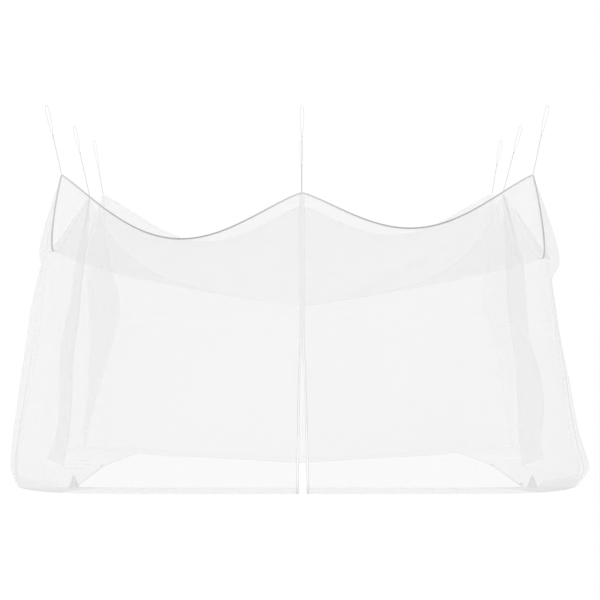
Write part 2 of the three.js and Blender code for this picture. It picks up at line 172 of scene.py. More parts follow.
BAYS = {
    "front_left": bay(
        "front_left", "front_slit", (0, -1), 0.313, 0.92,
        (0, 0.06), (0.012, 0.082), (0.05, 0.1), (0.3, 0.08), (0.6, 0.045), (1, 0),
    ),
    "front_right": bay(
        "front_right", "front_slit", (0, -1), 0.25, 1,
        (0, 0.055), (0.012, 0.076), (0.05, 0.092), (0.3, 0.072), (0.6, 0.04), (1, 0),
    ),
    "left_front": bay(
        "front_left", "left_middle", (-1, 0), 0.383, 1,
        (0, 0.134), (0.012, 0.19), (0.04, 0.202), (0.1, 0.172), (0.2, 0.172), (0.34, 0.188), (0.48, 0.188),
        (0.73, 0.175), (0.95, 0.15), (1, 0.128),
    ),
    "left_back": bay(
        "left_middle", "back_left", (-1, 0), 0.433, 1,
        (0, 0.087), (0.012, 0.125), (0.05, 0.135), (0.2, 0.151), (0.3, 0.18), (0.45, 0.222), (0.6, 0.181),
        (0.75, 0.146), (0.9, 0.131), (1, 0.149),
    ),
    "right_front": bay(
        "front_right", "right_middle", (1, 0), 0.437, 1,
        (0, 0.149), (0.012, 0.22), (0.04, 0.235), (0.1, 0.18), (0.2, 0.158), (0.34, 0.16), (0.5, 0.17),
        (0.75, 0.182), (0.95, 0.209), (1, 0.165),
    ),
    "right_back": bay(
        "right_middle", "back_right", (1, 0), 0.449, 1,
        (0, 0.132), (0.012, 0.166), (0.05, 0.172), (0.2, 0.181), (0.5, 0.222), (0.6, 0.225), (0.75, 0.215),
        (0.9, 0.172), (1, 0.155),
    ),
    "back_left": bay(
        "back_left", "back_middle", (0, 1), 0.28, 1,
        (0, 0.055), (0.012, 0.076), (0.05, 0.092), (0.3, 0.06), (1, 0.01),
    ),
    "back_right": bay(
        "back_right", "back_middle", (0, 1), 0.24, 1,
        (0, 0.055), (0.012, 0.076), (0.05, 0.092), (0.3, 0.06), (1, 0.01),
    ),
}
# The main folds of each wall: where along it, how wide and deep, and how strong at the top and the foot
FOLDS = by_name(table, "along wide deep top foot", {
    "left": (
        (0.07, 0.022, -0.03, 0.3, 0.9), (0.17, 0.03, 0.008, 0.2, 0.8), (0.38, 0.026, -0.034, 0.5, 1),
        (0.45, 0.02, 0.03, 0.8, 0.7), (0.56, 0.022, -0.032, 0.8, 0.8), (0.68, 0.03, 0.026, 0.3, 1),
        (0.84, 0.028, -0.036, 0.4, 0.9), (0.93, 0.022, 0.03, 0.9, 0.4),
    ),
    "right": (
        (0.09, 0.024, -0.026, 0.3, 0.9), (0.2, 0.028, 0.008, 0.2, 0.9), (0.35, 0.024, -0.03, 0.5, 1),
        (0.44, 0.022, 0.034, 0.8, 0.6), (0.55, 0.02, -0.03, 0.9, 0.8), (0.66, 0.026, 0.03, 0.4, 0.9),
        (0.79, 0.03, -0.032, 0.3, 1), (0.92, 0.024, 0.034, 0.9, 0.5),
    ),
    "back": (
        (0.06, 0.024, 0.03, 0.9, 0.5), (0.2, 0.04, -0.026, 0.2, 1), (0.44, 0.03, 0.024, 0.9, 0.6),
        (0.56, 0.03, 0.022, 0.9, 0.8), (0.79, 0.04, -0.028, 0.2, 1), (0.94, 0.024, 0.03, 0.9, 0.5),
    ),
})
FOLD_START = 0.08  # how far down a wall its folds have come up to their full depth
SAG_TURN = 1.2  # above 1, the top edge runs straighter beside its cords and turns in the middle
FRONT_ROUND = 10  # how tightly the front turns the corner

# The roof: the middle of its belly, how far the belly climbs towards the rim, how softly it is rounded in
# the middle, and how sharply it turns up at the rim.
ROOF = Numbers(x=0.002, y=0.0, z=1.006, climb=0.245, soft=0.1, turn=6)

# The bays of each wall, side by side. The second value is true where a bay is walked backwards.
WALLS = {
    "left": (("left_front", False), ("left_back", False)),
    "right": (("right_front", False), ("right_back", False)),
    "back": (("back_left", False), ("back_right", True)),
    "front_left": (("front_left", False),),
    "front_right": (("front_right", True),),
}
FRONT = WALLS["front_left"] + WALLS["front_right"]
TOP_ROUND = (
    ("front_left", False), ("front_right", True), ("right_front", False), ("right_back", False),
    ("back_right", False), ("back_left", True), ("left_back", True), ("left_front", True),
)

# The hem of the back wall swings forward between its corners and its middle.
BACK_HEM = curves("at y", ((0, 1), (0.19, 0.7), (0.4, 0.58), (0.7, 0.29), (1, 0)))
RIPPLE = Numbers(high=0.014, waves=9)  # in the cloth that lies on the floor


@lru_cache(maxsize=None)
def line_plan(name, fall):
    """Plan of an upright line of the walls, or of the middle of the slit, at a height."""
    rows = SLIT if name == "front_slit" else LINES[name]
    return read(rows, "x", fall), read(rows, "y", fall)


@lru_cache(maxsize=None)
def bay_out(name, fall):
    """How far the middle of a bay stands out at a height."""
    return read(BAYS[name].out, "out", fall)


@lru_cache(maxsize=None)
def covered(name, fall):
    """How much of its bay a wall covers: a front half stops under the tape beside the slit."""
    bay = BAYS[name]
    if bay.second != "front_slit":
        return 1.0
    corner = line_plan(bay.first, fall)[0]
    middle = line_plan(bay.second, fall)[0]
    return 1 - read(SLIT, "half", fall) / abs(middle - corner)


def hold_height(name):
    return HOLDS["front_middle" if name == "front_slit" else name].at[2]


def turned(bay, share):
    """How far the plan has turned from one line towards the next: the front rounds its corner tightly, the
    back swings in gently, and the sides run straight."""
    if bay.second == "front_slit":
        return 1 - (1 - share) ** FRONT_ROUND
    if bay.second == "back_middle":
        return sin(pi / 2 * share) ** 2
    return share


def bay_point(name, share, fall):
    """A point of a bay: share runs between its two lines, and fall from the top edge to the floor."""
    bay = BAYS[name]
    x0, y0 = line_plan(bay.first, fall)
    x1, y1 = line_plan(bay.second, fall)
    across = turned(bay, share) if bay.side[0] else share
    back = share if bay.side[0] else turned(bay, share)
    out = bay_out(name, fall) * arch(share)
    straight = lerp(hold_height(bay.first), hold_height(bay.second), share)
    top = straight - bay.sag * abs(arch(share ** bay.skew)) ** SAG_TURN
    return np.array([
        lerp(x0, x1, across) + bay.side[0] * out,
        lerp(y0, y1, back) + bay.side[1] * out,
        lerp(top, FLOOR, fall),
    ])


def on_wall(strips, along):
    """The bay, and the place in it, that lies a share of the way along a strip of bays."""
    place = along * len(strips)
    which = min(int(place), len(strips) - 1)
    name, backwards = strips[which]
    share = place - which
    return name, 1 - share if backwards else share


def edge_places(strips, more):
    """Places along the top edge of a strip of bays, each as a bay and a share of it."""
    count = BAY_COLUMNS * len(strips)
    return [on_wall(strips, i / count) for i in range(count + more)]


# How finely the cloth is made
BAY_COLUMNS = 80
WALL_ROWS = 64
WALL_ROW_TURN = 1.5  # above 1, the rows lie closer together near the top edge
TUCK_ROWS = 14
ROOF_RINGS = 44
HEM_FOLD = Numbers(deep=0.018, lift=0.0016, rows=3, stitched=0.012)
SEAM_WIDE = 0.009

ROUND_STEPS = 2  # in each rounded corner of a tape or a strand

# The finishes: shares of a yarn's spacing, see-through shares, and each pattern's scale and detail
YARN = Numbers(core=0.0, edge=0.35)
NET = Numbers(hole_alpha=0.16, yarn_alpha=0.74, seam_alpha=0.31, seam_edge=1.1, uneven=0.1,
              patches=(9.0, 3.0), crush=(14.0, 4.0), yarn_relief=0.3, relief=0.6, bump=0.0006, rough=0.9,
              smoother=0.15)
# How dark the painted shade on the outer face of the binding is, and on the lower face of a side binding:
# least where a cord holds it, most where it hangs low. A slit tape is darker along both edges and where it
# lies on the floor. The outer, lower and edge offsets say how far out in a tape's profile those parts begin.
TAPE = Numbers(edge_round=0.25, twill=0.0012, weft_slant=0.2, weft_waves=2, patches=(60.0, 3.0),
               outer=0.0034, lower=-0.0036, piping=0.0042, face=0.0006, held=0.6, piped=0.7, plain=0.05,
               foot=0.36, foot_from=0.965, foot_full=0.985, relief=0.8, bump=0.00015, rough=0.9,
               smoother=0.12)
TAPE_TONE = Numbers(twill=0.3, weft=0.15, patches=0.5)
TAPE_RELIEF = Numbers(twill=0.7, weft=0.3)
THREAD = Numbers(patches=(60.0, 2.0), rough=0.8, smoother=0.1)
STITCHED = Numbers(aside=0.3, above=0.0001, thread=0.00028, sides=5)
PALER = {"left_back": -1.5, "right_back": -1.5}  # bays whose binding loses its painted shade where it hangs low
SLIT_DROP = 0.004  # from the line of the binding to the top of the slit tapes

# The cords: how thick the doubled stem and the single strand of the loop are, as shares of the cord; a
# rope's strands as shares of its radius; the loop at its end and the knot under it
CORD = Numbers(clear=0.006, curve_steps=12, stem_spans=2, step=0.002, lay=0.011, stem=1.5, strand=0.8,
               fibre=0.0007, fibre_lay=0.004, fibre_tone=0.5, patch_tone=0.7, patches=(40.0, 3.0),
               relief=0.7, bump=0.0002, rough=0.85, smoother=0.1)
ROPE = Numbers(strands=3, waist=0.62, crown=1.12, round=0.4)
LOOP = Numbers(long=0.175, half=0.01)
LOOP_WALK = table("up out", (
    (0, 0), (0.3, 0.75), (0.68, 1), (0.92, 0.75), (1, 0), (0.92, -0.75), (0.68, -1), (0.3, -0.75),
    (0.055, -0.38),
))
KNOT = Numbers(turns=3, points=16, radius=0.003, half=0.0046, tuck=10, tight=0.45)

# Fine creases of each wall, besides its main folds: where along it each starts at the top and ends at the
# foot, how wide it is, how far it stands out (or in, below zero), the stretch of the fall that it fills,
# and how much closer the net looks in it.
CREASES = by_name(table, "top foot wide deep start end closer", {
    "front_left": (
        (0.03, 0.1, 0.022, 0.008, 0, 0.7, 0), (0.08, 0.3, 0.03, -0.006, 0, 0.5, 0.1),
        (0.95, 0.8, 0.04, 0.006, 0, 0.6, 0.05), (0.5, 0.52, 0.07, 0.006, 0.35, 1, 0.05),
        (0.72, 0.3, 0.1, 0.004, 0.1, 0.95, 0.1),
    ),
    "front_right": (
        (0.97, 0.9, 0.022, 0.008, 0, 0.7, 0), (0.92, 0.7, 0.03, -0.006, 0, 0.5, 0.1),
        (0.05, 0.2, 0.04, 0.006, 0, 0.6, 0.05), (0.5, 0.48, 0.07, 0.006, 0.35, 1, 0.05),
    ),
    "left": (
        (0.62, 0.61, 0.014, 0.006, 0.2, 1, 0.3), (0.7, 0.67, 0.02, 0.005, 0.1, 0.9, -0.2),
        (0.78, 0.77, 0.016, 0.006, 0.25, 1, 0.2), (0.62, 0.62, 0.14, 0, 0.75, 1.4, -0.25),
    ),
    "right": (
        (0.6, 0.6, 0.012, 0.006, 0.2, 1, 0.3), (0.73, 0.72, 0.016, 0.006, 0.25, 1, 0.2),
        (0.68, 0.68, 0.18, 0, 0.3, 1.5, -0.4),
    ),
    "back": (
        (0.02, 0.04, 0.014, 0.008, 0, 0.8, 0), (0.1, 0.14, 0.02, -0.008, 0.1, 1, 0.1),
        (0.3, 0.32, 0.03, 0.008, 0.2, 1, 0.05), (0.5, 0.5, 0.014, 0.012, 0, 1, 0.1),
        (0.68, 0.67, 0.03, 0.008, 0.2, 1, 0.05), (0.9, 0.86, 0.02, -0.008, 0.1, 1, 0.1),
    ),
})
GATHER = Numbers(high=0.001, waves=30, deep=0.035)  # the cloth is eased onto the binding in small waves

# How close the net looks: 1 is one flat layer of wall cloth, and more is cloth that is bunched or doubled
CLOSE = {"front_left": 1.0, "front_right": 1.0, "back": 1.0, "left": 0.9, "right": 0.9}
# The foot of each front half lies doubled beside its corner seam: from how far down, and how far along
FOOT = Numbers(more=3.4, fall=0.964, soft=0.01, start=0.006, end=0.175, edge=0.015)
FOOT_FALLS = (0.982, 0.988, 0.994)
# The back end of each side wall lies doubled, from this far along it, and by this much
DOUBLED = by_name(curves, "at start more", {
    "left": (
        (0, 0.93, 0), (0.12, 0.89, 0.2), (0.25, 0.885, 1.1), (0.45, 0.89, 1.2), (0.6, 0.915, 1.2),
        (0.75, 0.945, 1.2), (0.92, 0.97, 1.1), (1, 0.99, 0.3),
    ),
    "right": (
        (0, 0.95, 0), (0.12, 0.92, 0.2), (0.25, 0.89, 0.9), (0.45, 0.9, 0.9), (0.6, 0.93, 0.7),
        (0.75, 0.95, 0.5), (0.92, 0.98, 0.3), (1, 0.99, 0.1),
    ),
})
DOUBLED_EDGE = 0.006
# The front half of the roof looks more open in the middle, closer towards the sides, and closest in one long
# fold. The two tables say where on it the middle ends.
ROOF_CLOSE = Numbers(middle=0.36, side=0.46, back=0.3, fold=0.55, fold_wide=0.05, fold_rises=(0.1, 0.5),
                     edge=0.035, side_rises=(0.0, 0.3), rim=0.25, rim_from=0.88, lift=0.01)
RIM_BAYS = ("left_front", "right_front", "front_left", "front_right")
ROOF_LEFT = curves("at x", (
    (-1.08, 0), (-1.05, -0.08), (-0.99, -0.3), (-0.83, -0.6), (-0.37, -0.36), (0, -0.1),
))
ROOF_RIGHT = curves("at x", (
    (-1.08, 1.3), (-1.03, 1.13), (-0.9, 0.7), (-0.47, 0.39), (0, 0.15),
))

# Where the hem is pinched up into a small peak: its place on the floor, its height and half its width
PEAKS = by_name(table, "x y high wide", {
    "left": (
        (-1.262, -1.138, 0.072, 0.023), (-1.241, 0.02, 0.018, 0.008),
    ),
    "right": (
        (1.297, -1.138, 0.072, 0.022), (1.204, 0.05, 0.019, 0.009), (1.252, -1.03, 0.02, 0.009),
    ),
})
PEAK = Numbers(pleats=6, points=8, rows=8, deep=0.4, flare=0.8, close=1.5)


def bump_over(at, start, end):
    """Rises from nothing at the start of a stretch and falls back to nothing at its end."""
    if not start < at < end:
        return 0.0
    return arch((at - start) / (end - start)) ** 0.5


def bell(distance, wide):
    return exp(-(distance / wide) ** 2)


def crease_at(crease, along, fall):
    """How strong a crease is at a place on its wall."""
    middle = lerp(crease.top, crease.foot, fall)
    return bump_over(fall, crease.start, crease.end) * bell(along - middle, crease.wide)


def wall_closeness(name, along, fall):
    """How close the net looks at a place on a wall."""
    creased = sum(crease.closer * crease_at(crease, along, fall) for crease in CREASES[name])
    close = CLOSE[name] * (1 + creased)
    if name in DOUBLED:
        start = read(DOUBLED[name], "start", fall)
        doubled = risen(along, start - DOUBLED_EDGE, start + DOUBLED_EDGE)
        close += read(DOUBLED[name], "more", fall) * doubled
    if name in ("front_left", "front_right"):
        aside = along if name == "front_left" else 1 - along
        across = risen(aside, 0.0, FOOT.start) * (1 - risen(aside, FOOT.end - FOOT.edge, FOOT.end))
        close += FOOT.more * across * risen(fall, FOOT.fall, FOOT.fall + FOOT.soft)
    return close


def roof_closeness(ring, x, y, low):
    """How close the net looks at a place on the roof, and how far its long fold stands up there."""
    close, fold, edge = ROOF_CLOSE.back, 0.0, ROOF_CLOSE.edge
    if y < 0:
        left, right = read(ROOF_LEFT, "x", y), read(ROOF_RIGHT, "x", y)
        aside = max(1 - risen(x, left - edge, left + edge), risen(x, right - edge, right + edge))
        fold = bell(x - right, ROOF_CLOSE.fold_wide) * risen(-y, *ROOF_CLOSE.fold_rises)
        aside *= risen(-y, *ROOF_CLOSE.side_rises)
        close = lerp(ROOF_CLOSE.middle, ROOF_CLOSE.side, aside) + ROOF_CLOSE.fold * fold
    return close + ROOF_CLOSE.rim * low * risen(ring, ROOF_CLOSE.rim_from, 1.0), fold


def wall_point(name, along, fall):
    """A point of a wall: its bays, its main folds, its fine creases and the gathers below the binding."""
    bay_name, share = on_wall(WALLS[name], along)
    point = bay_point(bay_name, share * covered(bay_name, fall), fall)
    depth = 0.0
    for fold in FOLDS.get(name, ()):
        strength = lerp(fold.top, fold.foot, fall) * min(1.0, fall / FOLD_START)
        depth += fold.deep * strength * bell(along - fold.along, fold.wide)
    for crease in CREASES[name]:
        depth += crease.deep * crease_at(crease, along, fall)
    waves = sin(tau * GATHER.waves * len(WALLS[name]) * along)
    depth += GATHER.high * waves * bump_over(fall, 0.0, GATHER.deep)
    side = BAYS[bay_name].side
    return point + np.array([side[0] * depth, side[1] * depth, 0.0])


def hem_point(name, along):
    bay_name, share = on_wall(WALLS[name], along)
    bay = BAYS[bay_name]
    x0, y0 = HEM_LINE[bay.first]
    x1, y1 = HEM_LINE[bay.second]
    across = share * covered(bay_name, 1.0)
    if bay.second == "back_middle":
        forward = 1 - read(BACK_HEM, "y", share)
    else:
        forward = turned(bay, share)
    return np.array([lerp(x0, x1, across), lerp(y0, y1, forward), FLOOR])


def tuck_point(name, along, share):
    """A point of the cloth that lies on the floor, from the foot of a wall in to its hem."""
    point = lerp(wall_point(name, along, 1.0), hem_point(name, along), share)
    wave = sin(pi * RIPPLE.waves * along) ** 2 * arch(share)
    point[2] += RIPPLE.high * wave * arch(along)
    return point


def turned_hem_point(name, along, back):
    """A point of the strip that is turned up on the hem, a way back from its edge."""
    long = np.linalg.norm(hem_point(name, along) - wall_point(name, along, 1.0))
    point = tuck_point(name, along, 1 - back / long)
    point[2] += HEM_FOLD.lift
    return point


def wall_rows(name):
    """Rows of points of a wall, from its top edge down to the floor, in to its hem and back over it, and
    how close the net looks at each."""
    columns = BAY_COLUMNS * len(WALLS[name])
    alongs = [i / columns for i in range(columns + 1)]
    falls = sorted([(i / WALL_ROWS) ** WALL_ROW_TURN for i in range(WALL_ROWS + 1)] + list(FOOT_FALLS))
    rows = [[wall_point(name, along, fall) for along in alongs] for fall in falls]
    for i in range(1, TUCK_ROWS + 1):
        rows.append([tuck_point(name, along, i / TUCK_ROWS) for along in alongs])
    for i in range(HEM_FOLD.rows):
        back = HEM_FOLD.deep * i / (HEM_FOLD.rows - 1)
        rows.append([turned_hem_point(name, along, back) for along in alongs])
    falls += [1.0] * (len(rows) - len(falls))
    close = [[wall_closeness(name, along, fall) for along in alongs] for fall in falls]
    return np.array(rows) + SET, np.array(close)


def roof_rings():
    """Rings of points of the roof, from near the middle of its belly out to its rim under the binding, and
    how close the net looks at each."""
    centre = np.array([ROOF.x, ROOF.y, ROOF.z])
    places = edge_places(TOP_ROUND, 0)
    rim = [bay_point(*place, 0.0) for place in places]
    lows = [arch(share) if name in RIM_BAYS else 0.0 for name, share in places]
    rings, close = [], []
    for j in range(1, ROOF_RINGS + 1):
        ring = j / ROOF_RINGS
        slope = ring ** 2 * (1 + ROOF.soft) / (ring + ROOF.soft)
        row, values = [], []
        for edge, low in zip(rim, lows):
            point = centre + (edge - centre) * (1, 1, 0) * ring
            value, fold = roof_closeness(ring, point[0], point[1], low)
            point[2] += ROOF.climb * slope + (edge[2] - centre[2] - ROOF.climb) * ring ** ROOF.turn
            point[2] += ROOF_CLOSE.lift * fold * (1 - ring)
            row.append(point)
            values.append(value)
        rings.append(row)
        close.append(values)
    return centre + SET, np.array(rings) + SET, np.array(close)


def make_piece(name, points, faces, material=None, values=None, uv=None, edges=()):
    """A mesh object at the origin, with smooth faces, named values at its points, and its UV map."""
    mesh = bpy.data.meshes.new(name)
    mesh.from_pydata([tuple(p) for p in points], edges, faces)
    for key, numbers in (values or {}).items():
        numbers = np.asarray(numbers, np.float32)
        kind, field = ("FLOAT", "value") if numbers.ndim == 1 else ("FLOAT_VECTOR", "vector")
        mesh.attributes.new(key, kind, "POINT").data.foreach_set(field, numbers.ravel())
    if uv is not None:
        corners = np.zeros(len(mesh.loops), np.int32)
        mesh.loops.foreach_get("vertex_index", corners)
        layer = mesh.uv_layers.new(name="UVMap")
        layer.data.foreach_set("uv", np.asarray(uv, np.float32)[corners].ravel())
    if material:
        mesh.materials.append(material)
    mesh.shade_smooth()
    mesh.update()
    piece = bpy.data.objects.new(name, mesh)
    bpy.context.scene.collection.objects.link(piece)
    return piece


def grid_faces(high, wide, closed=False):
    """Faces between rows of points; a closed grid joins the end of each row to its start."""
    faces = []
    spans = wide if closed else wide - 1
    for j in range(high - 1):
        for i in range(spans):
            a, b = j * wide + i, j * wide + (i + 1) % wide
            faces.append((a, b, b + wide, a + wide))
    return faces


def measured_down(rows):
    """How far each point of a grid lies down the cloth from its first row."""
    steps = np.linalg.norm(np.diff(rows, axis=0), axis=2)
    return np.vstack([np.zeros(rows.shape[1]), np.cumsum(steps, axis=0)])


class Wiring:
    """Adds nodes to one tree, for a material, for the world or for geometry."""

    def __init__(self, tree):
        self.tree = tree

    def fill(self, node, sockets):
        """Gives a node's sockets their values or links."""
        for key, value in sockets.items():
            value = getattr(value, "socket", value)
            if isinstance(value, bpy.types.NodeSocket):
                self.tree.links.new(value, node.inputs[key])
            else:
                node.inputs[key].default_value = value

    def node(self, kind, sockets=None, **settings):
        """A node of a type, with its settings made first, and then the values or links of its sockets."""
        node = self.tree.nodes.new(kind)
        for key, value in settings.items():
            setattr(node, key, value)
        self.fill(node, sockets or {})
        return node

    def value(self, kind, output, sockets=None, **settings):
        """One output of a new node, as a value that Python's operators work on."""
        return Value(self, self.node(kind, sockets, **settings).outputs[output])

    def shape(self, kind, sockets=None, output=0, **settings):
        """One output of a new geometry node."""
        return self.node(f"GeometryNode{kind}", sockets, **settings).outputs[output]

    def split(self, vector):
        """The first two parts of a vector."""
        parts = self.node("ShaderNodeSeparateXYZ", {0: vector})
        return [Value(self, part) for part in parts.outputs[:2]]

    def carried(self, name, output="Fac"):
        """A value that the mesh carries at its points."""
        return self.value("ShaderNodeAttribute", output, attribute_name=name)

    def patches(self, pattern, uv=None):
        """Soft patches over a cloth's own map or, without one, through the piece's own space."""
        place = self.node("ShaderNodeTexCoord").outputs["Object"] if uv is None else uv
        sockets = {"Vector": place, "Scale": pattern[0], "Detail": pattern[1]}
        sides = "3D" if uv is None else "2D"
        return self.value("ShaderNodeTexNoise", "Fac", sockets, noise_dimensions=sides)

    def smooth(self, value, low, high):
        """Rises from 0 where the value is low to 1 where it is high."""
        sockets = {"Value": value, "From Min": low, "From Max": high}
        return self.value("ShaderNodeMapRange", "Result", sockets, interpolation_type="SMOOTHSTEP")

    def blend(self, factor, first, second):
        """A colour between two, by a factor."""
        return self.value("ShaderNodeMix", 2, {0: factor, 6: first, 7: second}, data_type="RGBA")

    def paint(self, shader, numbers, colour, raised, height=None):
        """Gives a shader its colour, its roughness, which is less where it is raised, and its relief."""
        self.fill(shader, {"Base Color": colour, "Roughness": numbers.rough - raised * numbers.smoother})
        if height:
            relief = {"Strength": numbers.relief, "Distance": numbers.bump, "Height": height}
            self.fill(shader, {"Normal": self.value("ShaderNodeBump", "Normal", relief)})


def wired(owner, kind):
    """The wiring of a material or of a world, and its one node of a kind."""
    owner.use_nodes = True
    return Wiring(owner.node_tree), next(node for node in owner.node_tree.nodes if node.type == kind)


def operation(name, backwards=False):
    """A method that adds a Math node."""

    def method(self, *others):
        values = (*others, self) if backwards else (self, *others)
        return self.wiring.value("ShaderNodeMath", 0, dict(enumerate(values)), operation=name)

    return method


class Value:
    """A number that runs through a tree. Python's operators on it add Math nodes."""

    def __init__(self, wiring, socket):
        self.wiring = wiring
        self.socket = socket

    __add__ = __radd__ = operation("ADD")
    __sub__ = operation("SUBTRACT")
    __rsub__ = operation("SUBTRACT", backwards=True)
    __mul__ = operation("MULTIPLY")
    __truediv__ = operation("DIVIDE")
    __abs__ = operation("ABSOLUTE")
    power = operation("POWER")
    sine = operation("SINE")
    least = operation("MINIMUM")
    most = operation("MAXIMUM")

    def wave(self, turn):
        """A wave between 0 and 1."""
        return (self * turn).sine() * 0.5 + 0.5


def net_material(wiring, shader, look):
    """Fine net: yarns with open holes between them, closer where it is bunched, doubled or sewn."""
    uv = wiring.node("ShaderNodeUVMap", uv_map="UVMap").outputs["UV"]
    across, down = wiring.split(uv)
    first, second = (abs((way * (pi / look.mesh_pitch)).sine()) for way in (across + down, across - down))
    yarn = 1 - wiring.smooth(first.least(second), YARN.core, YARN.edge)
    single = NET.hole_alpha + yarn * (NET.yarn_alpha - NET.hole_alpha)
    even = single * (1 - NET.uneven / 2 + wiring.patches(NET.patches, uv) * NET.uneven)
    bunched = 1 - (1 - even).power(wiring.carried("closeness"))
    sewn = 1 - wiring.smooth(wiring.carried("seam"), SEAM_WIDE, SEAM_WIDE * NET.seam_edge)
    wiring.fill(shader, {"Alpha": bunched.most(sewn * NET.seam_alpha)})
    colour = wiring.blend(yarn, look.net_shade, look.net)
    wiring.paint(shader, NET, colour, yarn, yarn * NET.yarn_relief + wiring.patches(NET.crush, uv))


def tape_material(wiring, shader, look, folded=False):
    """Narrow woven tape: a fine twill, with painted shade on the outer face of a folded binding; a slit tape
    is darker along both edges.
    """
    run, girth, low = (wiring.carried(key) for key in ("run", "girth", "low"))
    out, up = wiring.split(wiring.carried("section", "Vector"))
    turn = tau / TAPE.twill
    twill = (run + girth).wave(turn)
    weft = (run - girth * TAPE.weft_slant).wave(turn * TAPE.weft_waves)
    patches = wiring.patches(TAPE.patches)
    tone = (twill * TAPE_TONE.twill + weft * TAPE_TONE.weft + patches * TAPE_TONE.patches).least(1.0)

    def past(value, start):
        return wiring.smooth(value, start, start + TAPE.face)

    # Painted shade: a binding's outer face, and a side binding's lower face, take the dark face colours by
    # how low it hangs; a slit tape takes them along both edges and at its foot.
    if folded:
        lower = wiring.carried("under") * (1 - past(up, TAPE.lower))
        dark = past(out, TAPE.outer).most(lower) * (TAPE.held + low * (1 - TAPE.held))
    else:
        piping = past(abs(up), TAPE.piping) * TAPE.piped
        dark = piping.most(TAPE.plain + low * (TAPE.foot - TAPE.plain))
    pale_side = wiring.blend(tone, look.tape_shade, look.tape)
    dark_side = wiring.blend(tone, look.fold_shade, look.fold)
    height = twill * TAPE_RELIEF.twill + weft * TAPE_RELIEF.weft
    wiring.paint(shader, TAPE, wiring.blend(dark, pale_side, dark_side), twill, height)


def cord_material(wiring, shader, look):
    """Soft twisted cord: fine fibres that run with the strands."""
    slant = wiring.carried("girth") * (1 / CORD.fibre) + wiring.carried("run") * (1 / CORD.fibre_lay)
    fibres = slant.wave(tau)
    tone = (fibres * CORD.fibre_tone + wiring.patches(CORD.patches) * CORD.patch_tone).least(1.0)
    wiring.paint(shader, CORD, wiring.blend(tone, look.cord_shade, look.cord), fibres, fibres)


def thread_material(wiring, shader, look):
    """Sewing thread."""
    patches = wiring.patches(THREAD.patches)
    wiring.paint(shader, THREAD, wiring.blend(patches, look.thread_shade, look.thread), patches)


def marked(wiring, geometry, name, value, kind="FLOAT"):
    """A geometry whose points carry a named value."""
    return wiring.shape("StoreNamedAttribute", {"Geometry": geometry, "Name": name, "Value": value},
                        data_type=kind, domain="POINT")


def measured(wiring, curve, name):
    """A curve whose points carry how far each lies along it."""
    return marked(wiring, curve, name, wiring.shape("SplineParameter", output="Length"))


def mark(wiring, name, kind="FLOAT"):
    """A named value that the path carries."""
    return wiring.shape("InputNamedAttribute", {"Name": name}, "Attribute", data_type=kind)


def resampled(wiring, curve, step):
    return wiring.shape("ResampleCurve", {"Curve": curve, "Length": step}, mode="LENGTH")


def rounded(wiring, outline, radius, limit=False):
    """A profile with rounded corners."""
    sockets = {"Curve": outline, "Count": ROUND_STEPS, "Radius": radius, "Limit Radius": limit}
    return wiring.shape("FilletCurve", sockets, mode="POLY")


def facing_curve(wiring, start):
    """The path as a curve whose faces look along its own outward direction."""
    curve = wiring.shape("MeshToCurve", {"Mesh": start["Geometry"]})
    sockets = {"Curve": curve, "Normal": mark(wiring, "outward", "FLOAT_VECTOR")}
    return wiring.shape("SetCurveNormal", sockets, mode="FREE")


def swept(wiring, curve, profile, scale=1.0):
    """A profile swept along a curve, which keeps the length along both and the place in the profile."""
    place = wiring.shape("InputPosition")
    profile = marked(wiring, measured(wiring, profile, "girth"), "section", place, "FLOAT_VECTOR")
    curve = measured(wiring, curve, "run")
    sockets = {"Curve": curve, "Profile Curve": profile, "Scale": scale, "Fill Caps": True}
    return wiring.shape("SetShadeSmooth", {"Geometry": wiring.shape("CurveToMesh", sockets)})


def tape_tree(wiring, start):
    """Tape that follows a path, with its width along the cloth and rounded edges."""
    sides = {"Width": start["Thickness"], "Height": start["Width"]}
    outline = wiring.shape("CurvePrimitiveQuadrilateral", sides, mode="RECTANGLE")
    return swept(wiring, facing_curve(wiring, start), rounded(wiring, outline, start["Edge radius"]))


def rope_tree(wiring, start):
    """Cord of three strands twisted together along a path that says how thick it is."""
    curve = wiring.shape("MeshToCurve", {"Mesh": start["Geometry"]})
    turns = wiring.value("GeometryNodeSplineParameter", "Length") * tau / Value(wiring, start["Lay"])
    twisted = wiring.shape("SetCurveTilt", {"Curve": resampled(wiring, curve, start["Step"]), "Tilt": turns})
    radius = Value(wiring, start["Radius"])
    strands = wiring.shape("CurveStar", {
        "Points": ROPE.strands, "Inner Radius": radius * ROPE.waist, "Outer Radius": radius * ROPE.crown,
    })
    return swept(wiring, twisted, rounded(wiring, strands, radius * ROPE.round, True), mark(wiring, "thick"))


def stitch_tree(wiring, start):
    """A row of stitches along a path, each a short length of thread."""
    along = {"Vector": wiring.shape("InputTangent")}
    stitch = wiring.shape("MeshCylinder", {
        "Vertices": STITCHED.sides, "Side Segments": 1, "Radius": start["Thread radius"],
        "Depth": start["Stitch length"],
    }, fill_type="NGON")
    return wiring.shape("InstanceOnPoints", {
        "Points": resampled(wiring, facing_curve(wiring, start), start["Spacing"]), "Instance": stitch,
        "Rotation": wiring.node("FunctionNodeAlignRotationToVector", along, axis="Z").outputs[0],
    })


TREES = {
    "tape": (tape_tree, ("Width", "Thickness", "Edge radius")),
    "rope": (rope_tree, ("Radius", "Lay", "Step")),
    "stitches": (stitch_tree, ("Spacing", "Stitch length", "Thread radius")),
}


